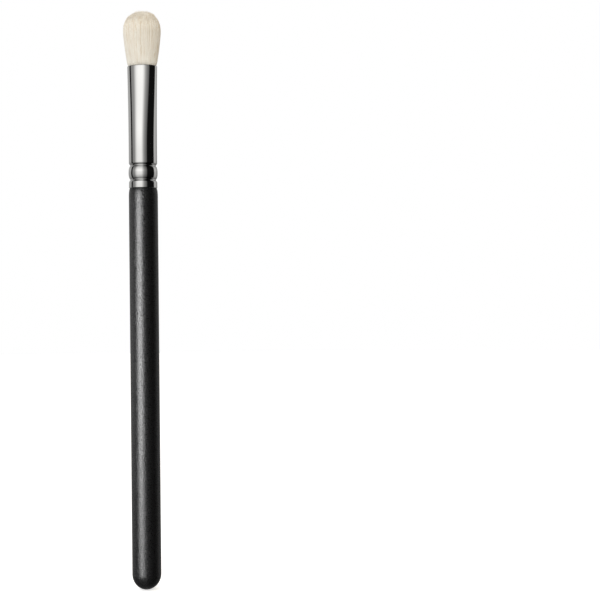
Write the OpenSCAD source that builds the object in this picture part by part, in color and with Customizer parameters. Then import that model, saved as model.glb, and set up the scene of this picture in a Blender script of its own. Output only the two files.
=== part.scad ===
// Eyeshadow brush with a straight lacquered handle, a crimped ferrule and a
// domed oval tuft. It stands along +Z with the hair up. The origin is the
// lowest point of the rounded butt, on the axis, and X is the wide way of the
// oval tuft. All lengths are in millimetres.

/* [Handle] */
// Height of the handle from the butt to the face that the ferrule sits on
handle_l = 108.7; // [90:0.1:130]
// Diameter of the straight handle
handle_d = 7.85; // [7.6:0.05:9]
// Height of the rounded butt
butt_h = 4.3; // [2:0.1:8]
// Height of the rounding just below the ferrule
shoulder_h = 2.2; // [0.6:0.1:4]
// Diameter of the flat face that the ferrule sits on
shoulder_d = 7.2; // [7.1:0.02:7.5]
// Length of the tenon inside the ferrule
tenon_l = 14.5; // [12:0.1:15.5]
// Chamfer round the end of the tenon
tenon_chamfer = 0.8; // [0.3:0.1:1.5]

/* [Ferrule] */
// Length of the ferrule
ferrule_l = 33.1; // [31:0.1:38]
// Diameter of the ferrule's round, crimped end
ferrule_d = 7.7; // [7.6:0.01:7.9]
// Thickness of the tube's wall
wall = 0.35; // [0.25:0.01:0.4]
// Width of the oval mouth
mouth_w = 8.35; // [8:0.01:8.6]
// Depth of the oval mouth
mouth_d = 6.2; // [6:0.05:7.4]
// Length over which the tube is pinched from round to oval
pinch_l = 23.1; // [20:0.1:23.5]
// Rounding of the lower edge
edge_r = 0.14; // [0.05:0.01:0.2]

/* [Crimps] */
// Height of the lower groove above the ferrule's lower edge
groove_low = 2.4; // [2:0.1:3]
// Height of the upper groove above the ferrule's lower edge
groove_high = 6.0; // [5.6:0.1:7]
// Width of each groove, if both its sides eased out as the one away from the bead
groove_w = 1.56; // [1:0.02:2]
// Depth of each groove
groove_depth = 0.38; // [0.2:0.01:0.5]
// Height that the bead between the grooves stands proud
bead_h = 0.1; // [0:0.01:0.2]

/* [Fixing inside the ferrule] */
// Gap between the tenon and the ferrule, which the glue fills
bond_gap = 0.2; // [0.12:0.01:0.3]
// Free space between the tenon and the epoxy plug
plug_gap = 0.6; // [0.3:0.1:1.5]
// Thickness of the plug below the hair
plug_floor = 3.2; // [2:0.1:4]
// Depth to which the root of the hair is sunk in the plug
plug_cup = 2.4; // [1.5:0.1:3]
// Diameter of the bound root of the hair
root_d = 4.6; // [4:0.1:4.9]
// Diameter of the binding thread
thread_d = 0.42; // [0.3:0.01:0.45]
// Turns of the binding thread
thread_turns = 5; // [3:1:6]
// Clearance of the fills and the hair inside the ferrule
fill_clear = 0.03; // [0.02:0.01:0.05]

/* [Tuft] */
// Length of hair that stands out of the ferrule
hair_l = 15.2; // [12:0.1:20]
// Width of the tuft at its belly
head_w = 10.5; // [9.5:0.05:12]
// Depth of the tuft at its belly
head_d = 8.2; // [7.4:0.1:10]
// Height of the domed top above the belly
dome_h = 5.5; // [4:0.1:7]
// Height above the mouth at which the flare of the hair eases
flare_h = 1.4; // [1:0.1:2]
// How much wider than the mouth the tuft is at that height
flare_out = 0.2; // [0:0.02:0.3]
// Depth below the mouth at which the strands part
part_h = 0.8; // [0.6:0.1:1.5]
// Distance that the strands keep from the mouth's inner wall where they part
throat_clear = 0.19; // [0.15:0.01:0.3]
// Length of the tapered tip of each strand
taper_l = 1.7; // [1:0.1:2.5]
// Half of the most that a strand's tip lies below the even dome
tip_stray = 0.2; // [0:0.01:0.3]
// Rows of strands each way, so that the tuft has this many squared
strand_rows = 19; // [18:1:19]

/* [Hidden] */
$fn = 96;

// Places on the axis
ferrule_z = handle_l;
mouth_z = ferrule_z + ferrule_l;
tenon_top_z = handle_l + tenon_l;
plug_z = tenon_top_z + plug_gap;
root_z = plug_z + plug_floor;
cup_z = root_z + plug_cup;
binding_z = cup_z + fill_clear;
parting_z = mouth_z - part_h;
flare_z = mouth_z + flare_h;
top_z = mouth_z + hair_l;
belly_z = top_z - dome_h;

// Facets round the pinched mouth, along it and over its lip
mouth_facets = 64;
mouth_steps = 12;
lip_steps = 4;
// Steps of each groove's flank, of the bead and of each rounding on a turned outline
flank_steps = 6;
bead_steps = 18;
arc_steps = 20;
edge_steps = 4;
tenon_steps = 4;
// Thin slice that a lofted form starts or ends with
slice_t = 0.05;
// Narrow step by which the facets of the mouth are sunk in the round sleeve
seam = 0.02;
// Overlap between neighbouring turns of the thread
turn_lap = 0.04;

round_l = ferrule_l - pinch_l;
flank_l = groove_w / 2;
bead_at = (groove_low + groove_high) / 2;
bead_reach = (groove_high - groove_low) / 2;
crimp_start = groove_low - flank_l;
crimp_end = groove_high + flank_l;

// A smooth climb from 0 to 1
function ease(share) = share * share * (3 - 2 * share);

// How late the tube gains its width, where 1 is evenly along the pinch
flare_power = 1.7;

// Half width and half depth of the pinched tube at a height above its lower edge
function tube_half(h) =
    let (share = max(0, (h - round_l) / pinch_l))
    [
        ferrule_d / 2 + (mouth_w - ferrule_d) / 2 * pow(share, flare_power),
        ferrule_d / 2 + (mouth_d - ferrule_d) / 2 * ease(share)
    ];

// How far the crimps move the tube's wall outward at a height. The bead is half
// an ellipse from groove to groove, and flanks ease the grooves into the tube.
function crimp(h) =
    let (off = abs(h - bead_at) / bead_reach)
    off < 1
        ? (bead_h + groove_depth) * sqrt(1 - off * off) - groove_depth
        : -groove_depth * ease(max(0, 1 - (off - 1) * bead_reach / flank_l));

// Radius of the crimped sleeve, and above it of the widest round in the tube
function sleeve_r(h) = tube_half(h).y + crimp(h);

// Heights at which the crimped outline has its points
crimp_heights = concat(
    [for (k = [0:flank_steps]) crimp_start + flank_l * k / flank_steps],
    [for (k = [1:bead_steps - 1]) bead_at - bead_reach * cos(180 * k / bead_steps)],
    [for (k = [0:flank_steps]) groove_high + flank_l * k / flank_steps]
);

// Outline of the sleeve between two heights, moved inward by an inset. Past the
// crimps it follows the tube's depth, which is what a round piece has room for.
function past_crimps(high) =
    high <= crimp_end
        ? []
        : [for (k = [1:tenon_steps]) crimp_end + (high - crimp_end) * k / tenon_steps];
function sleeve_line(inset, low, high) = [
    for (h = concat([low], crimp_heights, past_crimps(high)))
        [sleeve_r(h) - inset, ferrule_z + h]
];
function backward(list) = [for (k = [len(list) - 1:-1:0]) list[k]];

// Points of a quarter round from one corner to the other
function quarter(from, to, steps) = [
    for (k = [0:steps])
        let (turn = 90 * k / steps)
        [from.x + (to.x - from.x) * (1 - cos(turn)), from.y + (to.y - from.y) * sin(turn)]
];

module handle() {
    handle_r = handle_d / 2;
    tenon_inset = wall + bond_gap;
    tenon_end_r = sleeve_r(tenon_l - tenon_chamfer) - tenon_inset;
    butt = backward(quarter([handle_r, butt_h], [0, 0], arc_steps));
    shoulder = quarter(
        [handle_r, handle_l - shoulder_h], [shoulder_d / 2, handle_l], arc_steps
    );
    tenon = concat(
        sleeve_line(tenon_inset, 0, tenon_l - tenon_chamfer),
        [[tenon_end_r - tenon_chamfer, tenon_top_z], [0, tenon_top_z]]
    );
    color("#1b1b1c")
        rotate_extrude()
            polygon(concat(butt, shoulder, tenon));
}

module ferrule() {
    color("#c9c9c6")
        union() {
            sleeve();
            pinched_mouth();
        }
}

// The crimped length of the ferrule
module sleeve() {
    lower_edge = backward(quarter(
        [sleeve_r(edge_r), ferrule_z + edge_r], [sleeve_r(edge_r) - edge_r, ferrule_z],
        edge_steps
    ));
    outside = sleeve_line(0, edge_r, crimp_end);
    inside = sleeve_line(wall, 0, crimp_end);
    rotate_extrude()
        polygon(concat(
            lower_edge,
            [for (k = [1:len(outside) - 1]) outside[k]],
            backward(inside)
        ));
}

// The length that goes from round to oval, with its rounded lip. It starts a
// little inside the sleeve's wall.
module pinched_mouth() {
    lip_r = wall / 2;
    rise = ferrule_l - crimp_end - lip_r;
    // Height and inset of each ring, up the outside, over the lip and down inside
    path = concat(
        [[crimp_end - seam, seam]],
        [for (k = [1:mouth_steps]) [crimp_end + rise * k / mouth_steps, 0]],
        [
            for (k = [1:lip_steps - 1])
                let (turn = 180 * k / lip_steps)
                [crimp_end + rise + lip_r * sin(turn), lip_r * (1 - cos(turn))]
        ],
        [for (k = [mouth_steps:-1:1]) [crimp_end + rise * k / mouth_steps, wall]],
        [[crimp_end - seam, wall - seam]]
    );
    rings = len(path);
    points = [
        for (step = path, k = [0:mouth_facets - 1])
            let (half = tube_half(step.x), turn = 360 * k / mouth_facets)
            [
                (half.x - step.y) * cos(turn),
                (half.y - step.y) * sin(turn),
                ferrule_z + step.x
            ]
    ];
    function at(ring, k) = (ring % rings) * mouth_facets + k % mouth_facets;
    faces = [
        for (ring = [0:rings - 1], k = [0:mouth_facets - 1], side = [0, 1])
            side == 0
                ? [at(ring, k), at(ring + 1, k + 1), at(ring, k + 1)]
                : [at(ring, k), at(ring + 1, k), at(ring + 1, k + 1)]
    ];
    polyhedron(points = points, faces = faces);
}

// The film stops short of the ferrule's edge and of the tenon's end
module tenon_glue() {
    bottom = crimp_start - edge_r;
    top = tenon_l - tenon_chamfer;
    outside = sleeve_line(wall + fill_clear, bottom, top);
    inside = sleeve_line(wall + bond_gap - fill_clear, bottom, top);
    color("#d8c48a")
        rotate_extrude()
            polygon(concat(outside, backward(inside)));
}

// Cast plug that fills the tube, with a cup that the root of the hair is sunk in
module root_plug() {
    color("#c79a4b")
        difference() {
            hull() {
                bore_slice(plug_z);
                bore_slice(cup_z - slice_t);
            }
            translate([0, 0, root_z])
                cylinder(d = root_d + 2 * fill_clear, h = plug_cup + slice_t);
        }
}

// Thin slice of what fills the tube at a height
module bore_slice(z) {
    half = tube_half(z - ferrule_z) - (wall + fill_clear) * [1, 1];
    translate([0, 0, z])
        linear_extrude(slice_t)
            scale(half)
                circle(r = 1, $fn = 40);
}

// Close turns of thread round the root of the hair, just above the plug
module tuft_binding() {
    pitch = thread_d - turn_lap;
    color("#e8e2d0")
        union()
            for (k = [0:thread_turns - 1])
                translate([0, 0, binding_z + thread_d / 2 + k * pitch])
                    rotate_extrude()
                        translate([root_d / 2 + fill_clear + thread_d / 2, 0])
                            circle(d = thread_d, $fn = 16);
}

// Half width and half depth of the tuft at a height. The bound root is round,
// the hair above it fills the tube, parts at the mouth, flares and swells to
// the belly, and closes a little again towards the top.
neck_z = binding_z + thread_turns * thread_d + fill_clear;
spread_z = neck_z + thread_d;
closing_share = 0.97;
parting_half = tube_half(ferrule_l - part_h) - (wall + throat_clear) * [1, 1];
flare_half = tube_half(ferrule_l) + flare_out / 2 * [1, 1];
belly_half = [head_w / 2, head_d / 2];
function tuft_half(z) = [
    for (way = [0, 1])
        lookup(z, [
            [parting_z, parting_half[way]],
            [flare_z, flare_half[way]],
            [belly_z, belly_half[way]],
            [top_z, belly_half[way] * closing_share]
        ])
];

// A point of the square grid taken to the unit disc, each square to a ring
function disc(p) =
    let (
        wide = abs(p.x) >= abs(p.y),
        far = wide ? p.x : p.y,
        turn = far == 0 ? 0 : 45 * (wide ? p.y : p.x) / far
    )
    far * (wide ? [cos(turn), sin(turn)] : [sin(turn), cos(turn)]);
function grid(i, j) = disc([2 * i / strand_rows - 1, 2 * j / strand_rows - 1]);

// The four corners of a cell, turned by its place so that strands don't match
function corner(i, j, k) =
    let (c = (k + i + 2 * j) % 4)
    [i + (c == 1 || c == 2 ? 1 : 0), j + (c >= 2 ? 1 : 0)];
function in_cell(i, j, s, t) =
    let (c = [for (k = [0:3]) let (p = corner(i, j, k)) grid(p.x, p.y)])
    (1 - s) * (1 - t) * c[0] + s * (1 - t) * c[1] + s * t * c[2] + (1 - s) * t * c[3];

// Places of a strand's three edges and of its tip, as shares of its cell
edge_shares = [[0.07, 0.1], [0.93, 0.1], [0.5, 0.94]];
tip_share = [0.5, 0.38];
// How full the dome is, where 2 is an ellipse
dome_power = 2.2;

// Turn from one strand to the next that spreads their small differences evenly
golden_turn = 137.5;

// Height of a strand's tip on the dome, where the middle strand is the tallest
function tip_z(i, j) =
    let (
        middle = in_cell(i, j, tip_share.x, tip_share.y),
        out = norm(middle),
        rise = pow(1 - pow(out, dome_power), 1 / dome_power),
        middle_row = floor(strand_rows / 2),
        stray = cos(golden_turn * ((i - middle_row) * strand_rows + j - middle_row))
    )
    belly_z + dome_h * rise + tip_stray * (stray - 1);
function placed(p, z) =
    let (half = tuft_half(z))
    [p.x * half.x, p.y * half.y, z];

// Tapered strands of three sides, each fused to the packed root of the tuft
module bristle_tuft() {
    cells = [for (i = [0:strand_rows - 1], j = [0:strand_rows - 1]) [i, j]];
    // The plate that the strands stand on
    plate = [
        for (i = [0:strand_rows], j = [0:strand_rows]) placed(grid(i, j), parting_z)
    ];
    function plate_at(p) = p.x * (strand_rows + 1) + p.y;
    // Rings of the packed root, from the plate down
    rim_count = 4 * strand_rows;
    function rim_cell(k) =
        let (side = floor(k / strand_rows), step = k % strand_rows)
        side == 0 ? [step, 0]
        : side == 1 ? [strand_rows, step]
        : side == 2 ? [strand_rows - step, strand_rows]
        : [0, strand_rows - step];
    bound_half = root_d / 2 * [1, 1];
    root_rings = [
        [spread_z, tube_half(spread_z - ferrule_z) - (wall + throat_clear) * [1, 1]],
        [neck_z, bound_half],
        [root_z, bound_half]
    ];
    root = [
        for (ring = root_rings, k = [0:rim_count - 1])
            let (p = rim_cell(k), q = grid(p.x, p.y))
            [q.x * ring[1].x, q.y * ring[1].y, ring[0]]
    ];
    root_start = len(plate);
    function rim_at(ring, k) =
        ring == 0
            ? plate_at(rim_cell(k % rim_count))
            : root_start + (ring - 1) * rim_count + k % rim_count;
    // Each strand has rings at its foot, its flare and its taper, and a tip
    strand_start = root_start + len(root);
    strands = [
        for (cell = cells)
            let (tip = tip_z(cell.x, cell.y))
            for (z = [parting_z, flare_z, tip - taper_l, tip])
                for (share = z == tip ? [tip_share] : edge_shares)
                    placed(in_cell(cell.x, cell.y, share.x, share.y), z)
    ];
    points_each = 10;
    function strand_at(n, ring, k) = strand_start + n * points_each + 3 * ring + k % 3;

    plate_faces = [
        for (n = [0:len(cells) - 1])
            let (
                c = [for (k = [0:3]) plate_at(corner(cells[n].x, cells[n].y, k))],
                t = [for (k = [0:2]) strand_at(n, 0, k)]
            )
            each [
                [c[0], t[0], c[1]], [c[1], t[0], t[1]], [c[1], t[1], c[2]],
                [c[2], t[1], t[2]], [c[2], t[2], c[3]], [c[3], t[0], c[0]],
                [c[3], t[2], t[0]]
            ]
    ];
    strand_faces = [
        for (n = [0:len(cells) - 1], k = [0:2])
            each [
                for (ring = [0, 1])
                    each [
                        [strand_at(n, ring, k), strand_at(n, ring + 1, k + 1),
                            strand_at(n, ring, k + 1)],
                        [strand_at(n, ring, k), strand_at(n, ring + 1, k),
                            strand_at(n, ring + 1, k + 1)]
                    ],
                [strand_at(n, 2, k), strand_at(n, 3, 0), strand_at(n, 2, k + 1)]
            ]
    ];
    root_faces = [
        for (ring = [0:len(root_rings) - 1], k = [0:rim_count - 1])
            each [
                [rim_at(ring, k), rim_at(ring, k + 1), rim_at(ring + 1, k + 1)],
                [rim_at(ring, k), rim_at(ring + 1, k + 1), rim_at(ring + 1, k)]
            ]
    ];
    end_ring = len(root_rings);
    end_faces = [
        for (k = [1:rim_count - 2])
            [rim_at(end_ring, 0), rim_at(end_ring, k), rim_at(end_ring, k + 1)]
    ];
    color("#e6dcc6")
        polyhedron(
            points = concat(plate, root, strands),
            faces = concat(plate_faces, strand_faces, root_faces, end_faces),
            convexity = 20
        );
}

handle();
ferrule();
tenon_glue();
root_plug();
tuft_binding();
bristle_tuft();
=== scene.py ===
"""Looks of an eyeshadow blending brush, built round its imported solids.

The brush stands along +Z with its rounded butt at the origin. X is the wide way of
the oval tuft, and the camera stands in front of it, towards -Y. The handle, the ferrule
and the tuft are built anew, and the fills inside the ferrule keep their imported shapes.
Lengths are in metres.
"""

import math

import bpy
import numpy as np
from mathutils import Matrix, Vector


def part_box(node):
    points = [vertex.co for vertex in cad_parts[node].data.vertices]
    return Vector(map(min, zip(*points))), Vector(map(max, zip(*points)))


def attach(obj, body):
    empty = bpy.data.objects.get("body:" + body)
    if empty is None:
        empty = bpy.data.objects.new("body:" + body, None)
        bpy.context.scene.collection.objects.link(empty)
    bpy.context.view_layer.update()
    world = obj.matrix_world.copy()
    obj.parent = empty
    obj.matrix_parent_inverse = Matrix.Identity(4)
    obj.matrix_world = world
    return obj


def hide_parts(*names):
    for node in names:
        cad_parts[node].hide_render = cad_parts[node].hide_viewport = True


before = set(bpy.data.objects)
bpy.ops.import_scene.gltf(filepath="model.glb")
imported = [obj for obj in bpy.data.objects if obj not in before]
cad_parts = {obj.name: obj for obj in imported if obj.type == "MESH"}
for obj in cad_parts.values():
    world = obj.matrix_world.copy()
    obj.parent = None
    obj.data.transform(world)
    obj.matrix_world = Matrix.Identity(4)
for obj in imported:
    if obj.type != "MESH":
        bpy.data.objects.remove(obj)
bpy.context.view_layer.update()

MM = 0.001

# Places and sizes that the frame gives
handle_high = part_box("handle")[1]
ferrule_low, ferrule_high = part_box("ferrule")
tuft_low, tuft_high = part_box("bristle_tuft")
HANDLE_R = handle_high.x
TENON_TOP_Z = handle_high.z
FERRULE_Z = ferrule_low.z
FERRULE_L = ferrule_high.z - ferrule_low.z
MOUTH_Z = ferrule_high.z
ROOT_Z = tuft_low.z
TOP_Z = tuft_high.z

# Handle
BUTT_H = 4.3 * MM
SHOULDER_H = 2.2 * MM
SHOULDER_R = 3.6 * MM
TENON_CHAMFER = 0.8 * MM
BOND_GAP = 0.2 * MM

# Ferrule
WALL = 0.35 * MM
TUBE_R = 3.85 * MM
MOUTH_HALF_W = ferrule_high.x
MOUTH_HALF_D = 3.1 * MM
PINCH_L = 23.1 * MM
FLARE_POWER = 1.7
EDGE_R = 0.14 * MM
GROOVE_LOW = 2.4 * MM
GROOVE_HIGH = 6.0 * MM
FLANK_L = 0.78 * MM
GROOVE_DEPTH = 0.38 * MM
BEAD_H = 0.1 * MM
CRIMP_ROUNDING = 0.16 * MM
CRIMP_SAMPLES = 9

# Tuft
BOUND_R = 2.3 * MM
NECK_Z = ROOT_Z + 4.6 * MM
SPREAD_Z = NECK_Z + 0.42 * MM
THROAT_CLEAR = 0.19 * MM
PARTING_Z = MOUTH_Z - 0.8 * MM
FLARE_Z = MOUTH_Z + 1.4 * MM
FLARE_OUT = 0.02 * MM
HEAD_HALF_W = 5.16 * MM
HEAD_HALF_D = 4.015 * MM
DOME_H = 5.5 * MM
BELLY_Z = TOP_Z - DOME_H
DOME_POWER = 2.2
SWELL_POWER = 1.4
CLOSING_SHARE = 0.96
TIP_MARGIN = 0.45 * MM

# Counts of sides and rings
ROUND_SIDES = 160
CORE_SIDES = 96
ROUNDING_STEPS = 32
STRAIGHT_STEPS = 40
TENON_STEPS = 8
CRIMP_STEPS = 120
PINCH_STEPS = 60
EDGE_STEPS = 9
LIP_STEPS = 13
THROAT_STEPS = 10
BELLY_STEPS = 24
DOME_STEPS = 15

SHARP_DEG = 50
GOLDEN_TURN = math.pi * (3 - math.sqrt(5))
SEED = 5285
WHITE = (1, 1, 1, 1)
# Less than this counts as nothing
TINY = 1e-6


def ease(share):
    """A smooth climb from 0 to 1."""
    share = np.clip(share, 0, 1)
    return share * share * (3 - 2 * share)


def tube_half(height):
    """Half width and half depth of the tube at a height above its lower edge."""
    share = np.clip((height - (FERRULE_L - PINCH_L)) / PINCH_L, 0, None)
    wide = TUBE_R + (MOUTH_HALF_W - TUBE_R) * share**FLARE_POWER
    deep = TUBE_R + (MOUTH_HALF_D - TUBE_R) * ease(share)
    return wide, deep


def sharp_crimp(height):
    """How far the crimps move the tube's wall outward: a bead between two grooves."""
    bead_at = (GROOVE_LOW + GROOVE_HIGH) / 2
    bead_reach = (GROOVE_HIGH - GROOVE_LOW) / 2
    off = abs(height - bead_at) / bead_reach
    if off < 1:
        return (BEAD_H + GROOVE_DEPTH) * math.sqrt(1 - off * off) - GROOVE_DEPTH
    return -GROOVE_DEPTH * float(ease(1 - (off - 1) * bead_reach / FLANK_L))


def crimp(height):
    """The crimps with their corners rounded, as the drawn tube has them."""
    nearby = np.linspace(-CRIMP_ROUNDING, CRIMP_ROUNDING, CRIMP_SAMPLES)
    return sum(sharp_crimp(height + step) for step in nearby) / len(nearby)


def crimp_heights():
    """Heights at which the crimped outline has its points."""
    end = GROOVE_HIGH + FLANK_L + CRIMP_ROUNDING
    return np.linspace(GROOVE_LOW - FLANK_L - CRIMP_ROUNDING, end, CRIMP_STEPS)


def tube_ring(height, inset):
    """A ring of the tube at a height, moved inward by an inset."""
    wide, deep = tube_half(height)
    step = crimp(height) - inset
    return (float(wide) + step, float(deep) + step, FERRULE_Z + height)


def quarter_round(start, end, steps):
    """Rings of a quarter round from start, where it runs upright, to end."""
    turns = np.linspace(0, math.pi / 2, steps + 1)
    radii = start[0] + (end[0] - start[0]) * (1 - np.cos(turns))
    heights = start[1] + (end[1] - start[1]) * np.sin(turns)
    return [(r, r, z) for r, z in zip(radii, heights)]


def loft(name, rings, closed=False, sides=ROUND_SIDES):
    """A smooth mesh through elliptic rings of (half width, half depth, height).
    A ring with no width is a point, and a closed loft joins its last ring to its first."""
    turns = 2 * math.pi * np.arange(sides) / sides
    points, spans = [], []
    for wide, deep, z in rings:
        start = len(points)
        if wide < TINY:
            points.append((0, 0, z))
            spans.append([start] * sides)
        else:
            points += [(wide * math.cos(t), deep * math.sin(t), z) for t in turns]
            spans.append(list(range(start, start + sides)))
    pairs = list(zip(spans, spans[1:]))
    if closed:
        pairs.append((spans[-1], spans[0]))
    faces = []
    for low, high in pairs:
        for side in range(sides):
            after = (side + 1) % sides
            corners = [low[side], low[after], high[after], high[side]]
            faces.append(list(dict.fromkeys(corners)))
    mesh = bpy.data.meshes.new(name)
    mesh.from_pydata(points, [], faces)
    mesh.shade_smooth()
    mesh.set_sharp_from_angle(angle=math.radians(SHARP_DEG))
    mesh.validate()
    return add_object(name, mesh)


def add_object(name, mesh):
    """A mesh as an object of the scene."""
    made = bpy.data.objects.new(name, mesh)
    bpy.context.scene.collection.objects.link(made)
    return made


def dress(piece, material):
    """Gives a piece one material all over."""
    piece.data.materials.clear()
    piece.data.materials.append(material)


def add_node(tree, kind, inputs=None, **settings):
    """A shader node whose inputs are set to values or linked to sockets."""
    made = tree.nodes.new("ShaderNode" + kind)
    for name, value in settings.items():
        setattr(made, name, value)
    for name, value in (inputs or {}).items():
        if isinstance(value, bpy.types.NodeSocket):
            tree.links.new(value, made.inputs[name])
        else:
            made.inputs[name].default_value = value
    return made


def math_node(tree, operation, first, second):
    """The result of one operation on two values."""
    return add_node(tree, "Math", {0: first, 1: second}, operation=operation).outputs[0]


def mix(tree, factor, first, second):
    """A mix of two colours, which this node takes on its sockets 6 and 7 and gives on
    its socket 2."""
    inputs = {0: factor, 6: first, 7: second}
    return add_node(tree, "Mix", inputs, data_type="RGBA").outputs[2]


def start_material(name, settings):
    """A material with one Principled shader, whose even values are set on it."""
    material = bpy.data.materials.new(name)
    material.use_nodes = True
    tree = material.node_tree
    shader = tree.nodes["Principled BSDF"]
    for key, value in settings.items():
        shader.inputs[key].default_value = value
    return material, tree, shader


def stretched_noise(tree, scale, detail):
    """Noise on the object's own coordinates, with its own scale along each axis."""
    coords = add_node(tree, "TexCoord").outputs["Object"]
    spread = add_node(tree, "Mapping", {"Vector": coords, "Scale": scale}).outputs[0]
    noise = {"Vector": spread, "Scale": 1.0, "Detail": detail}
    return add_node(tree, "TexNoise", noise).outputs[0]


def remap(tree, value, low, high, from_low=0.3, from_high=0.7):
    """A value spread over another range, clamped at both ends."""
    ends = {"From Min": from_low, "From Max": from_high, "To Min": low, "To Max": high}
    return add_node(tree, "MapRange", {"Value": value, **ends}).outputs[0]


def ramp(tree, value, stops):
    """A colour from a value, by stops of (place, colour)."""
    made = add_node(tree, "ValToRGB", {"Fac": value})
    elements = made.color_ramp.elements
    while len(elements) < len(stops):
        elements.new(0.5)
    for element, (place, colour) in zip(elements, stops):
        element.position = place
        element.color = (*colour, 1)
    return made.outputs[0]


def add_bump(tree, shader, height, strength, depth):
    """Roughens a shader's surface by a height."""
    settings = {"Height": height, "Strength": strength, "Distance": depth}
    bump = add_node(tree, "Bump", settings)
    tree.links.new(bump.outputs[0], shader.inputs["Normal"])


def lacquer():
    """Satin black lacquer with a fine, even grain."""
    material, tree, shader = start_material("satin_black_lacquer", {"IOR": 1.44})
    cloud = stretched_noise(tree, (900, 900, 900), detail=3)
    stops = [(0.0, (0.0015, 0.0015, 0.0016)), (1.0, (0.0035, 0.0035, 0.0036))]
    tree.links.new(ramp(tree, cloud, stops), shader.inputs["Base Color"])
    grain = stretched_noise(tree, (3400, 3400, 3400), detail=2)
    tree.links.new(remap(tree, grain, 0.26, 0.36), shader.inputs["Roughness"])
    tree.links.new(remap(tree, grain, 0.16, 0.54), shader.inputs["Specular IOR Level"])
    add_bump(tree, shader, grain, strength=0.9, depth=0.09 * MM)
    return material


def nickel():
    """Bright nickel plate with the faint lines of a drawn tube."""
    settings = {"Metallic": 1.0}
    material, tree, shader = start_material("bright_nickel_plate", settings)
    lines = stretched_noise(tree, (5000, 5000, 60), detail=2)
    stops = [(0.0, (0.545, 0.54, 0.525)), (1.0, (0.575, 0.57, 0.555))]
    tree.links.new(ramp(tree, lines, stops), shader.inputs["Base Color"])
    haze = stretched_noise(tree, (700, 700, 160), detail=3)
    tree.links.new(remap(tree, haze, 0.05, 0.09), shader.inputs["Roughness"])
    return material


def resin(name, shallow, deep, roughness):
    """Cured glue or epoxy, clouded a little."""
    settings = {"Roughness": roughness, "IOR": 1.52}
    material, tree, shader = start_material(name, settings)
    cloud = stretched_noise(tree, (1400, 1400, 1400), detail=3)
    stops = [(0.3, deep), (0.7, shallow)]
    tree.links.new(ramp(tree, cloud, stops), shader.inputs["Base Color"])
    return material


def thread():
    """Waxed thread with its plies running round the tuft."""
    settings = {"Roughness": 0.6, "Sheen Weight": 0.2}
    material, tree, shader = start_material("waxed_thread", settings)
    plies = stretched_noise(tree, (6000, 6000, 9000), detail=1)
    stops = [(0.3, (0.62, 0.57, 0.45)), (0.7, (0.87, 0.83, 0.72))]
    tree.links.new(ramp(tree, plies, stops), shader.inputs["Base Color"])
    add_bump(tree, shader, plies, strength=0.5, depth=0.05 * MM)
    return material


def hair_material():
    """Fine undyed hair. Each hair has its own tone, with painted light near its root and
    tip, kept on its points.
    """
    settings = {"Roughness": 0.5, "Specular IOR Level": 0.35, "Sheen Weight": 0.1}
    material, tree, shader = start_material("undyed_hair", settings)
    tone = add_node(tree, "Attribute", attribute_name="tone").outputs["Fac"]
    stops = [
        (0.0, (0.70, 0.58, 0.40)),
        (0.37, (0.90, 0.84, 0.735)),
        (1.0, (0.975, 0.95, 0.872)),
    ]
    tree.links.new(ramp(tree, tone, stops), shader.inputs["Base Color"])
    return material


def build_handle():
    """The turned handle with its grooved tenon, as one closed form. The tenon is round,
    so it follows the narrow way of the tube's inside."""
    butt = quarter_round((HANDLE_R, BUTT_H), (0, 0), ROUNDING_STEPS)[::-1]
    straight = np.linspace(BUTT_H, FERRULE_Z - SHOULDER_H, STRAIGHT_STEPS)[1:-1]
    shoulder = quarter_round(
        (HANDLE_R, FERRULE_Z - SHOULDER_H), (SHOULDER_R, FERRULE_Z), ROUNDING_STEPS
    )
    inset = WALL + BOND_GAP
    chamfer_h = TENON_TOP_Z - TENON_CHAMFER - FERRULE_Z
    above = np.linspace(crimp_heights()[-1], chamfer_h, TENON_STEPS)[1:]
    inside = [tube_ring(h, inset) for h in [0, *crimp_heights(), *above]]
    tenon = [(deep, deep, z) for _, deep, z in inside]
    end_r = tenon[-1][0] - TENON_CHAMFER
    end = [(end_r, end_r, TENON_TOP_Z), (0, 0, TENON_TOP_Z)]
    rings = butt + [(HANDLE_R, HANDLE_R, z) for z in straight] + shoulder + tenon + end
    handle = loft("handle_body", rings)
    dress(handle, lacquer())
    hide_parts("handle")
    return handle


def build_ferrule():
    """The pinched tube with its crimps, its rounded lip and its turned-in lower edge."""
    lip_r = WALL / 2
    edge = [
        tube_ring(EDGE_R * (1 - math.sin(turn)), EDGE_R * (1 - math.cos(turn)))
        for turn in np.linspace(math.pi / 2, 0, EDGE_STEPS)
    ]
    climb = np.linspace(crimp_heights()[-1], FERRULE_L - lip_r, PINCH_STEPS)[1:]
    outside = [tube_ring(h, 0) for h in [*crimp_heights(), *climb]]
    lip = [
        tube_ring(FERRULE_L - lip_r * (1 - math.sin(turn)), lip_r * (1 - math.cos(turn)))
        for turn in np.linspace(0, math.pi, LIP_STEPS)[1:-1]
    ]
    inside = [tube_ring(h, WALL) for h in [0, *crimp_heights(), *climb]]
    ferrule = loft("ferrule_tube", edge + outside + lip + inside[::-1], closed=True)
    dress(ferrule, nickel())
    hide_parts("ferrule")
    return ferrule


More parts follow.
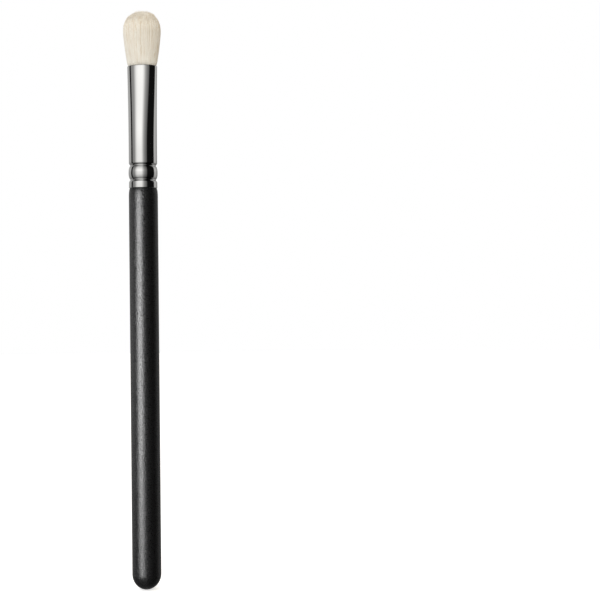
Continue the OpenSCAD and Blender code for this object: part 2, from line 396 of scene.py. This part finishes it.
def tuft_half(z):
    """Half width and half depth of the tuft at heights above the parting."""
    wide, deep = tube_half(FERRULE_L - (MOUTH_Z - PARTING_Z))
    inset = WALL + THROAT_CLEAR
    halves = []
    for throat, rim, belly in (
        (wide - inset, MOUTH_HALF_W, HEAD_HALF_W),
        (deep - inset, MOUTH_HALF_D, HEAD_HALF_D),
    ):
        flare = rim + FLARE_OUT
        low = throat + (flare - throat) * ease((z - PARTING_Z) / (FLARE_Z - PARTING_Z))
        share = np.clip((z - FLARE_Z) / (BELLY_Z - FLARE_Z), 0, 1)
        swell = flare + (belly - flare) * (1 - (1 - share) ** SWELL_POWER)
        closing = 1 - (1 - CLOSING_SHARE) * np.clip((z - BELLY_Z) / DOME_H, 0, 1) ** 2
        halves.append(np.where(z < FLARE_Z, low, swell) * closing)
    return np.stack(halves, -1)


def dome_z(out):
    """Height of the dome at a share of the way out from the axis."""
    out = np.clip(out, 0, 1)
    return BELLY_Z + DOME_H * (1 - out**DOME_POWER) ** (1 / DOME_POWER)


def dome_out(z):
    """Share of the way out from the axis at which the dome has a height."""
    climb = np.clip((z - BELLY_Z) / DOME_H, 0, 1)
    return (1 - climb**DOME_POWER) ** (1 / DOME_POWER)


def spiral(count):
    """Points spread evenly over the unit disc."""
    number = np.arange(count)
    out = np.sqrt((number + 0.5) / count)
    turn = GOLDEN_TURN * number
    return np.stack([out * np.cos(turn), out * np.sin(turn)], -1)


# Layout of the hair
CLUMPS = 1500
FULL_HAIRS = 5600
TIP_HAIRS = 15000
OUTER_PIECES = 2
TIP_PIECES = 3
CORE_SHARE = 0.93
CORE_DROP = 1.05 * MM
TIP_L = 2.2 * MM

# Shape of each hair. Leans, waves and places are shares of the tuft's half width.
HAIR_SIDES = 3
FULL_RINGS = 12
TIP_RINGS = 7
RING_CROWDING = 1.7
FULL_TAPER = 0.9
TIP_TAPER = 0.6
HAIR_R = 0.052 * MM
HAIR_R_SHARES = (0.8, 1.15)
TIP_R = 0.042 * MM
FINE_R = 0.01 * MM
CLUMP_PULL = 0.4
CLUMP_LEAN = 0.016
HAIR_LEAN = 0.008
WAVE = 0.019
WAVE_TURN = 5.0
CLUMP_RISE = 0.05 * MM
CLUMP_RISE_ENDS = (-2 * CLUMP_RISE, 1.5 * CLUMP_RISE)
LENGTH_STRAY = 0.09 * MM
PROUD = 0.45 * MM
PROUD_SHARE = 0.11
OVER_DOME = 0.3
OVER_DOME_SHARES = (0.2, 1)
OUTMOST = 0.995
# Place, reach and depth of each worn place of the dome
WORN = [(-0.58, 0.22, 0.22 * MM), (0.9, 0.09, 0.36 * MM)]

# Tones of the hair, from 0 for deep to 1 for light
CLUMP_TONE = 0.46
CLUMP_TONE_STRAY = 0.12
CLUMP_TONE_ENDS = (0.33, 0.75)
HAIR_TONE_STRAY = 0.16
LEAST_TONE = 0.12
# The core's tone is lighter than the hair's, a painted light over the shade deep among the
# hairs.
CORE_TONE = 0.6
RIPPLE = 0.15
RIPPLE_L = 1.3 * MM
WARMING = 0.40
# Painted light: the hair is lighter just above the mouth, where the ferrule's rim shades it,
# and at its fine tips, where the hairs shade each other.
ROOT_PAINTED_LIGHT = 0.42
ROOT_PAINTED_LIGHT_H = 1.6 * MM
TIP_GLOW = 0.44
GLOW_H = 0.45 * MM

# Locks that lie across the others. Turns and drifts are in radians.
STREWN_LOCKS = 120
LOCK_HAIRS = 7
LOCK_RINGS = 12
LOCK_TAPER = 0.6
LOCK_SPREAD = 0.011
LOCK_DRIFT = 0.2
LOCK_LENGTHS = (2.5 * MM, 5.5 * MM)
LOCK_START_STRAY = 0.4 * MM
LOCK_LOWEST_Z = MOUTH_Z + 0.1 * MM
LOCK_LAST_START_Z = BELLY_Z - 2 * MM
LOCK_HIGHEST_Z = BELLY_Z + 1.2 * MM
LOCK_OUT = 0.985
LOCK_BULGE = 0.02
LOCK_BULGE_SHARES = (0.2, 1)
LOCK_TONES = [0.4, 0.75, 0.95]
LOCK_TONE_STRAY = 0.08
# Turn round the tuft, drift, both ends above the mouth, and tone
SEEN_LOCKS = [
    (-1.38, -0.33, 1.8 * MM, 5.5 * MM, 0.95),
    (-1.40, -0.36, 1.6 * MM, 5.2 * MM, 0.95),
    (-1.45, -0.22, 4.0 * MM, 7.4 * MM, 0.90),
    (-0.52, 0.13, 0.4 * MM, 5.2 * MM, 0.10),
    (-0.49, 0.13, 0.6 * MM, 5.0 * MM, 0.15),
    (-0.23, 0.02, 2.5 * MM, 8.5 * MM, 0.10),
    (-0.19, 0.02, 2.0 * MM, 8.0 * MM, 0.15),
]


def keep_tones(mesh, tones):
    """Keeps a tone on each point of a mesh, where the hair's material reads it."""
    tone = mesh.attributes.new("tone", "FLOAT", "POINT")
    tone.data.foreach_set("value", tones.ravel().astype(np.float32))


def hair_faces(rings):
    """Corners of the faces of one closed hair, whose last point is its tip."""
    last = HAIR_SIDES * (rings - 2)
    tip = last + HAIR_SIDES
    sides = [(side, (side + 1) % HAIR_SIDES) for side in range(HAIR_SIDES)]
    walls = [
        (low + left, low + right, low + HAIR_SIDES + right, low + HAIR_SIDES + left)
        for low in range(0, last, HAIR_SIDES)
        for left, right in sides
    ]
    point = [(last + left, last + right, tip) for left, right in sides]
    root = [tuple(reversed(range(HAIR_SIDES)))]
    return walls + point + root


def hair_mesh(name, centres, radii, tones, spin):
    """Closed, tapered hairs. centres is hairs by rings by xyz, and the last ring of
    each hair is its tip."""
    count, rings = centres.shape[:2]
    turns = spin[:, None] + 2 * math.pi * np.arange(HAIR_SIDES) / HAIR_SIDES
    ring = np.stack([np.cos(turns), np.sin(turns), np.zeros_like(turns)], -1)
    body = centres[:, :-1, None, :] + radii[:, :-1, None, None] * ring[:, None]
    points = np.concatenate([body.reshape(count, -1, 3), centres[:, -1:]], 1)
    faces = hair_faces(rings)
    corners = np.array([corner for face in faces for corner in face])
    firsts = points.shape[1] * np.arange(count)[:, None]
    loops = (firsts + corners[None, :]).ravel()
    sizes = np.tile([len(face) for face in faces], count)
    loop_starts = np.concatenate([[0], np.cumsum(sizes)[:-1]])
    mesh = bpy.data.meshes.new(name)
    mesh.vertices.add(points.shape[0] * points.shape[1])
    mesh.vertices.foreach_set("co", points.astype(np.float32).ravel())
    mesh.loops.add(len(loops))
    mesh.loops.foreach_set("vertex_index", loops.astype(np.int32))
    mesh.polygons.add(len(sizes))
    mesh.polygons.foreach_set("loop_start", loop_starts.astype(np.int32))
    mesh.update(calc_edges=True)
    mesh.shade_smooth()
    keep_tones(mesh, tones)
    mesh.validate()
    return add_object(name, mesh)


def nearest(points, places):
    """Index of the place nearest to each point."""
    gaps = np.linalg.norm(points[:, None] - places[None], axis=-1)
    return gaps.argmin(1)


def ring_shares(rings):
    """Shares of the way along a hair at which its rings lie, closer near the tip."""
    return 1 - (1 - np.linspace(0, 1, rings)) ** RING_CROWDING


def hair_ends(points, mine, clumps, rng):
    """Places over the unit disc at which hairs end, each drawn to its clump."""
    pull = clumps["at"][mine] + clumps["lean"][mine] - points
    ends = points + CLUMP_PULL * pull + rng.normal(0, HAIR_LEAN, points.shape)
    out = np.linalg.norm(ends, axis=1)
    return ends * np.minimum(1, OUTMOST / np.maximum(out, TINY))[:, None]


def tip_drops(ends, rises, rng):
    """How far below the dome hairs end, and which of them stand proud of the rest. The
    dome is a little worn in places."""
    count = len(ends)
    drop = TIP_MARGIN - rises + np.abs(rng.normal(0, LENGTH_STRAY, count))
    proud = rng.random(count) < PROUD_SHARE
    drop = np.where(proud, TIP_MARGIN - PROUD * rng.random(count), drop)
    for place, reach, depth in WORN:
        drop += depth * np.exp(-(((ends[:, 0] - place) / reach) ** 2))
    return drop, proud


def hair_paths(points, start_z, rings, clumps, rng):
    """Centre lines of hairs that start over points of the unit disc, rise to the dome
    in a soft wave and bend over it a little way."""
    count = len(points)
    mine = nearest(points, clumps["at"])
    ends = hair_ends(points, mine, clumps, rng)
    drop, proud = tip_drops(ends, clumps["rise"][mine], rng)
    out = np.linalg.norm(ends, axis=1)
    over = OVER_DOME * rng.uniform(*OVER_DOME_SHARES, count) * out
    tip_z = dome_z(out - over) - drop
    share = ring_shares(rings)[None, :]
    z = start_z[:, None] + (tip_z - start_z)[:, None] * share
    phase = rng.uniform(0, 2 * math.pi, (count, 2))
    swing = rng.normal(0, WAVE, (count, 2))
    wave = np.sin(phase[:, None] + WAVE_TURN * share[..., None]) * swing[:, None]
    bend = (share**2)[..., None]
    disc = points[:, None] + (ends - points)[:, None] * bend + wave * share[..., None]
    out = np.linalg.norm(disc, axis=-1)
    limit = dome_out(z + drop[:, None])
    disc *= np.minimum(1, limit / np.maximum(out, TINY))[..., None]
    xy = disc * tuft_half(z)
    return np.concatenate([xy, z[..., None]], -1), mine, proud


def hair_radii(fine, rings, taper_from, rng):
    """Each hair is even up to its taper, and then narrows to its tip, which is finer
    where the hair stands proud."""
    share = ring_shares(rings)
    narrow = ease((share - taper_from) / (1 - taper_from))
    even = HAIR_R * rng.uniform(*HAIR_R_SHARES, len(fine))
    tip = np.where(fine, FINE_R, TIP_R)
    return even[:, None] * (1 - narrow) + tip[:, None] * narrow


def hair_tones(mine, clumps, z, rng):
    """Tone of each ring of each hair: its clump's with a ripple up its length, its own,
    a little deeper and warmer up the tuft, and painted light that makes it lighter where it
    leaves the mouth, in the shade of the rim, and at its fine tip, in the hairs' own shade."""
    own = clumps["tone"][mine] + rng.normal(0, HAIR_TONE_STRAY, len(mine))
    # Painted light just above the mouth, in the rim's shade, and at the fine tips, in the
    # shade the hairs cast on each other.
    root = ROOT_PAINTED_LIGHT * ease(1 - (z - MOUTH_Z) / ROOT_PAINTED_LIGHT_H)
    height = WARMING * (0.5 - (z - MOUTH_Z) / (TOP_Z - MOUTH_Z))
    glow = TIP_GLOW * ease(1 - (z[:, -1:] - z) / GLOW_H)
    ripple = RIPPLE * np.sin(clumps["phase"][mine][:, None] + 2 * math.pi * z / RIPPLE_L)
    return np.clip(own[:, None] + root + height + glow + ripple, LEAST_TONE, 1)


def build_core():
    """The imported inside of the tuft, from its bound root to just below its dome."""
    inset = WALL + THROAT_CLEAR
    spread = [half - inset for half in tube_half(SPREAD_Z - FERRULE_Z)]
    rings = [(0, 0, ROOT_Z), (BOUND_R, BOUND_R, ROOT_Z), (BOUND_R, BOUND_R, NECK_Z)]
    rings.append((*spread, SPREAD_Z))
    for z in np.linspace(SPREAD_Z, PARTING_Z, THROAT_STEPS)[1:]:
        wide, deep = tube_half(z - FERRULE_Z)
        rings.append((wide - inset, deep - inset, z))
    top_z = BELLY_Z - CORE_DROP
    for z in np.linspace(PARTING_Z, top_z, BELLY_STEPS)[1:]:
        share = ease((z - PARTING_Z) / (FLARE_Z - PARTING_Z))
        full = tuft_half(z) * (1 - (1 - CORE_SHARE) * share)
        rings.append((*full, z))
    wide, deep = tuft_half(top_z) * CORE_SHARE
    for turn in np.linspace(0, math.pi / 2, DOME_STEPS)[1:]:
        out = math.cos(turn) if turn < math.pi / 2 - TINY else 0
        z = float(dome_z(out)) - CORE_DROP
        rings.append((wide * out, deep * out, z))
    core = loft("tuft_core", rings, sides=CORE_SIDES)
    # Painted light: the core takes a lighter tone than the hair, over the shade deep in the
    # tuft.
    keep_tones(core.data, np.full(len(core.data.vertices), CORE_TONE))
    return core


def add_hairs(name, paths, radii, tones, rng):
    """A hair mesh whose hairs are each turned about their own line. The tone of each
    ring is repeated for its points, and the last is the tip's."""
    ring_tones = np.repeat(tones[:, :-1], HAIR_SIDES, 1)
    point_tones = np.concatenate([ring_tones, tones[:, -1:]], 1)
    spin = rng.uniform(0, 2 * math.pi, len(paths))
    return hair_mesh(name, paths, radii, point_tones, spin)


def add_combed(name, points, start_z, rings, taper_from, clumps, rng):
    """A piece of hairs that lie with the tuft, one over each point of the unit disc."""
    paths, mine, proud = hair_paths(points, start_z, rings, clumps, rng)
    radii = hair_radii(proud, rings, taper_from, rng)
    tones = hair_tones(mine, clumps, paths[..., 2], rng)
    return add_hairs(name, paths, radii, tones, rng)


def build_hair():
    """Thousands of tapered hairs over the core: long ones round the outside, the ends
    of the inner ones on the dome, and a few locks that lie across them."""
    rng = np.random.default_rng(SEED)
    clumps = {
        "at": spiral(CLUMPS),
        "lean": rng.normal(0, CLUMP_LEAN, (CLUMPS, 2)),
        "rise": np.clip(rng.normal(0, CLUMP_RISE, CLUMPS), *CLUMP_RISE_ENDS),
        "tone": np.clip(
            rng.normal(CLUMP_TONE, CLUMP_TONE_STRAY, CLUMPS), *CLUMP_TONE_ENDS
        ),
        "phase": rng.uniform(0, 2 * math.pi, CLUMPS),
    }
    pieces = []

    disc = spiral(int(FULL_HAIRS / (1 - CORE_SHARE**2)))
    edge = disc[np.linalg.norm(disc, axis=1) > CORE_SHARE]
    rng.shuffle(edge)
    for part, points in enumerate(np.array_split(edge, OUTER_PIECES)):
        name = "hair_outer_%d" % (part + 1)
        start_z = np.full(len(points), PARTING_Z)
        pieces.append(add_combed(name, points, start_z, FULL_RINGS, FULL_TAPER, clumps, rng))

    inner = spiral(TIP_HAIRS) * CORE_SHARE
    rng.shuffle(inner)
    for part, points in enumerate(np.array_split(inner, TIP_PIECES)):
        name = "hair_tips_%d" % (part + 1)
        start_z = dome_z(np.linalg.norm(points, axis=1)) - CORE_DROP - TIP_L
        pieces.append(add_combed(name, points, start_z, TIP_RINGS, TIP_TAPER, clumps, rng))

    pieces.append(build_strays(rng))
    return pieces


def build_strays(rng):
    """Small locks of hair that cross the others on the outside of the tuft: some strewn
    round it, and those that stand out in front."""
    turn = rng.uniform(0, 2 * math.pi, STREWN_LOCKS)
    drift = rng.normal(0, LOCK_DRIFT, STREWN_LOCKS)
    low = rng.uniform(MOUTH_Z, LOCK_LAST_START_Z, STREWN_LOCKS)
    high = low + rng.uniform(*LOCK_LENGTHS, STREWN_LOCKS)
    tone = rng.choice(LOCK_TONES, STREWN_LOCKS)
    strewn = np.stack([turn, drift, low, high, tone])
    seen = np.transpose(SEEN_LOCKS)
    seen[2:4] += MOUTH_Z
    locks = np.concatenate([strewn, seen], 1)
    turn, drift, low, high, tone = np.repeat(locks, LOCK_HAIRS, 1)

    count = len(turn)
    turn = turn + rng.normal(0, LOCK_SPREAD, count)
    low = low + rng.uniform(-LOCK_START_STRAY, LOCK_START_STRAY, count)
    low = np.maximum(low, LOCK_LOWEST_Z)
    high = np.minimum(high, LOCK_HIGHEST_Z)
    share = np.linspace(0, 1, LOCK_RINGS)[None]
    angle = turn[:, None] + drift[:, None] * share
    own = rng.uniform(*LOCK_BULGE_SHARES, (count, 1))
    bulge = LOCK_BULGE * np.sin(math.pi * share) * own
    z = low[:, None] + (high - low)[:, None] * share
    disc = np.stack([np.cos(angle), np.sin(angle)], -1) * (LOCK_OUT + bulge)[..., None]
    xy = disc * tuft_half(z)
    paths = np.concatenate([xy, z[..., None]], -1)
    radii = hair_radii(np.full(count, True), LOCK_RINGS, LOCK_TAPER, rng)
    tones = np.clip(tone + rng.normal(0, LOCK_TONE_STRAY, count), 0, 1)[:, None]
    return add_hairs("hair_strays", paths, radii, np.repeat(tones, LOCK_RINGS, 1), rng)


def build_tuft():
    """The tuft: its core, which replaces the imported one, and the hair over it."""
    hair = hair_material()
    core = build_core()
    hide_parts("bristle_tuft")
    pieces = [core, *build_hair()]
    for piece in pieces:
        dress(piece, hair)
    return pieces


# Camera, set to the photo: its side, and the brush's axis and butt in it, in pixels
PHOTO_PX = 600
AXIS_X_PX = 144.38
BUTT_Y_PX = 587.85
PX = 0.2712 * MM
CAMERA_AWAY = 350 * MM
CAMERA_ASIDE = (PHOTO_PX / 2 - AXIS_X_PX) * PX
CAMERA_Z = (BUTT_Y_PX - PHOTO_PX / 2) * PX
CAMERA_TURN_DEG = 12.5
CAMERA_ROLL_DEG = 0.53
CAMERA_CLIP = (0.01, 20)
SENSOR_MM = 36.0


def build_camera():
    """A level camera that sees the brush where the photo has it, left of its middle."""
    data = bpy.data.cameras.new("camera")
    data.sensor_width = SENSOR_MM
    data.lens = SENSOR_MM * CAMERA_AWAY / (PHOTO_PX * PX)
    data.clip_start, data.clip_end = CAMERA_CLIP
    camera = bpy.data.objects.new("camera", data)
    turn = math.radians(CAMERA_TURN_DEG)
    camera.location = (
        CAMERA_ASIDE * math.cos(turn) + CAMERA_AWAY * math.sin(turn),
        CAMERA_ASIDE * math.sin(turn) - CAMERA_AWAY * math.cos(turn),
        CAMERA_Z,
    )
    camera.rotation_euler = (math.pi / 2, math.radians(CAMERA_ROLL_DEG), turn)
    bpy.context.scene.collection.objects.link(camera)
    bpy.context.scene.camera = camera


# Light. Turns round the brush are in degrees from the camera's side, to the right.
CAMERA_SIDE = CAMERA_TURN_DEG + math.degrees(math.atan2(CAMERA_ASIDE, CAMERA_AWAY))
BEHIND = 180 - CAMERA_SIDE

# Levels that gloss meets round the brush, by the turn. The narrow softbox behind it
# has one sharp edge, where the list ends and starts again.
BAND_PEAK = 1.5
BANDS = [
    (BEHIND - 360, 1.30),
    (-172, 1.30),
    (-168, 0.50),
    (-118, 0.56),
    (-112, 0.60),
    (-109, 0.008),
    (-95, 0.008),
    (-91, 0.33),
    (-71, 0.41),
    (-62, 0.80),
    (-53, 1.20),
    (-42, 1.40),
    (-18, 1.44),
    (-10, 1.30),
    (-3, 0.90),
    (5, 0.52),
    (14, 0.33),
    (29, 0.14),
    (33, 0.008),
    (94, 0.008),
    (100, 0.70),
    (118, 0.68),
    (136, 0.44),
    (BEHIND, 0.40),
    (BEHIND, 1.30),
]

# Shares of those levels up and down, by the sine of the rise
RISE_PEAK = 1.2
RISES = [
    (-1.0, 0.25),
    (-0.52, 0.36),
    (-0.33, 0.58),
    (-0.19, 0.72),
    (-0.09, 0.88),
    (0.10, 1.00),
    (0.20, 1.20),
    (0.32, 1.05),
    (0.42, 0.92),
    (0.53, 0.80),
    (0.70, 0.60),
    (1.0, 0.40),
]

# Colours of the soft light from all round, from the lit side to the shaded side
SHADE_TURN = 105
AMBIENTS = [
    (0.0, (0.74, 0.735, 0.725)),
    (0.37, (0.92, 0.91, 0.89)),
    (0.64, (0.99, 0.945, 0.88)),
    (0.78, (0.52, 0.42, 0.26)),
    (0.90, (0.19, 0.12, 0.03)),
    (1.0, (0.21, 0.14, 0.04)),
]

# Lamps: turn and rise in degrees, distance and size in metres, power in watts
KEY_TURN = -33
KEY_RISE = 38
KEY_AWAY = 0.75
KEY_SIZE = (0.35, 0.5)
KEY_POWER = 1.67
STRIP_TURN = -37
STRIP_AWAY = 0.5
STRIP_Z = 0.0645
STRIP_SIZE = (0.31, 0.26)
STRIP_POWER = 8.5
SIDE_TURN = -104
SIDE_POWER = 0.3
CROWN_TURN = 0
CROWN_RISE = 82
CROWN_AWAY = 0.5
CROWN_SIZE = (0.25, 0.25)
CROWN_POWER = 0.62

# Floor
FLOOR_RADII = (1.6, 0.8, 0.4, 0.2, 0.1, 0.05, 0.02, 0)
FLOOR_SIDES = 96
FLOOR_GLOW = 0.62


def level_by(tree, value, low, high, stops, peak):
    """A level that follows a value between two ends, by stops of (value, level)."""
    share = remap(tree, value, 0, 1, low, high)
    stops = [((at - low) / (high - low), (level / peak,) * 3) for at, level in stops]
    return math_node(tree, "MULTIPLY", ramp(tree, share, stops), peak)


def build_world():
    """White for the camera, and for gloss the bands of a studio: a softbox to the left,
    black flags beside it and to the right, pale walls behind, and a narrow softbox
    between those. All else meets a soft light that is dim and warm at the right."""
    world = bpy.data.worlds.new("studio")
    bpy.context.scene.world = world
    world.use_nodes = True
    world.cycles.sampling_method = "NONE"
    tree = world.node_tree
    direction = add_node(tree, "TexCoord").outputs["Generated"]
    parts = add_node(tree, "SeparateXYZ", {"Vector": direction}).outputs
    ahead = math_node(tree, "MULTIPLY", parts["Y"], -1.0)
    turn = math_node(tree, "ARCTAN2", parts["X"], ahead)
    stops = [(math.radians(angle + CAMERA_SIDE), level) for angle, level in BANDS]
    bands = level_by(tree, turn, -math.pi, math.pi, stops, BAND_PEAK)
    rise = level_by(tree, parts["Z"], -1, 1, RISES, RISE_PEAK)
    gloss = math_node(tree, "MULTIPLY", bands, rise)
    shade_turn = math.radians(SHADE_TURN + CAMERA_SIDE)
    shade = (math.sin(shade_turn), -math.cos(shade_turn), 0)
    ends = {0: direction, 1: shade}
    toward = add_node(tree, "VectorMath", ends, operation="DOT_PRODUCT").outputs["Value"]
    ambient = ramp(tree, remap(tree, toward, 0, 1, -1, 1), AMBIENTS)
    path = add_node(tree, "LightPath").outputs
    lit = mix(tree, path["Is Glossy Ray"], ambient, gloss)
    seen = math_node(tree, "MAXIMUM", path["Is Camera Ray"], path["Is Transmission Ray"])
    background = tree.nodes["Background"]
    tree.links.new(mix(tree, seen, lit, WHITE), background.inputs["Color"])


def build_lamp(name, turn_deg, rise_deg, away, aim_z, size, power):
    """A soft lamp that faces the brush from a turn round it and a rise above it."""
    data = bpy.data.lights.new(name, "AREA")
    data.shape = "RECTANGLE"
    data.size, data.size_y = size
    data.energy = power
    lamp = bpy.data.objects.new(name, data)
    turn = math.radians(turn_deg + CAMERA_SIDE)
    rise = math.radians(rise_deg)
    toward = Vector(
        (math.sin(turn) * math.cos(rise), -math.cos(turn) * math.cos(rise), math.sin(rise))
    )
    lamp.location = Vector((0, 0, aim_z)) + toward * away
    lamp.rotation_euler = toward.to_track_quat("Z", "Y").to_euler()
    bpy.context.scene.collection.objects.link(lamp)
    return lamp


def light_only(lamps, pieces, name):
    """Keeps the light of some lamps to some pieces."""
    lit = bpy.data.collections.new(name)
    for piece in pieces:
        lit.objects.link(piece)
    for lamp in lamps:
        lamp.light_linking.receiver_collection = lit


def build_lamps(handle, tuft):
    """A large soft key from the upper left, in whose place gloss meets the world's
    softbox; two strips for the satin handle, one for its line of light and one for its
    edge; and a soft light over the crown of the tuft."""
    head_z = (FERRULE_Z + TOP_Z) / 2
    key = build_lamp("key", KEY_TURN, KEY_RISE, KEY_AWAY, head_z, KEY_SIZE, KEY_POWER)
    key.visible_glossy = False
    strips = [
        build_lamp(name, turn, 0, STRIP_AWAY, STRIP_Z, STRIP_SIZE, power)
        for name, turn, power in (
            ("strip", STRIP_TURN, STRIP_POWER),
            ("side", SIDE_TURN, SIDE_POWER),
        )
    ]
    light_only(strips, [handle], "lit_by_strips")
    crown = build_lamp(
        "crown", CROWN_TURN, CROWN_RISE, CROWN_AWAY, TOP_Z, CROWN_SIZE, CROWN_POWER
    )
    light_only([crown], tuft, "lit_by_crown")


def build_floor():
    """A pale floor that shows white to the camera, apart from the brush's shadow."""
    floor = loft("floor", [(r, r, 0) for r in FLOOR_RADII], sides=FLOOR_SIDES)
    floor.visible_glossy = False
    material, tree, shader = start_material("pale_floor", {"Roughness": 0.9})
    cloud = stretched_noise(tree, (40, 40, 40), detail=3)
    stops = [(0.0, (0.86, 0.86, 0.86)), (1.0, (0.90, 0.90, 0.90))]
    tree.links.new(ramp(tree, cloud, stops), shader.inputs["Base Color"])
    to_camera = add_node(tree, "LightPath").outputs["Is Camera Ray"]
    glow = math_node(tree, "MULTIPLY", to_camera, FLOOR_GLOW)
    shader.inputs["Emission Color"].default_value = WHITE
    tree.links.new(glow, shader.inputs["Emission Strength"])
    dress(floor, material)


def dress_hidden_nodes():
    """The glue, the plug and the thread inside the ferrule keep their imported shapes."""
    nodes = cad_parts
    glue = resin("glue_film", (0.80, 0.72, 0.50), (0.70, 0.60, 0.38), roughness=0.3)
    epoxy = resin("cast_epoxy", (0.64, 0.47, 0.22), (0.50, 0.34, 0.13), roughness=0.15)
    dress(nodes["tenon_glue"], glue)
    dress(nodes["root_plug"], epoxy)
    dress(nodes["tuft_binding"], thread())


handle_body = build_handle()
tuft_pieces = build_tuft()
for piece in [handle_body, build_ferrule(), *tuft_pieces]:
    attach(piece, "root")
dress_hidden_nodes()
build_floor()
build_world()
build_lamps(handle_body, tuft_pieces)
build_camera()
bpy.context.scene.view_settings.view_transform = "Standard"
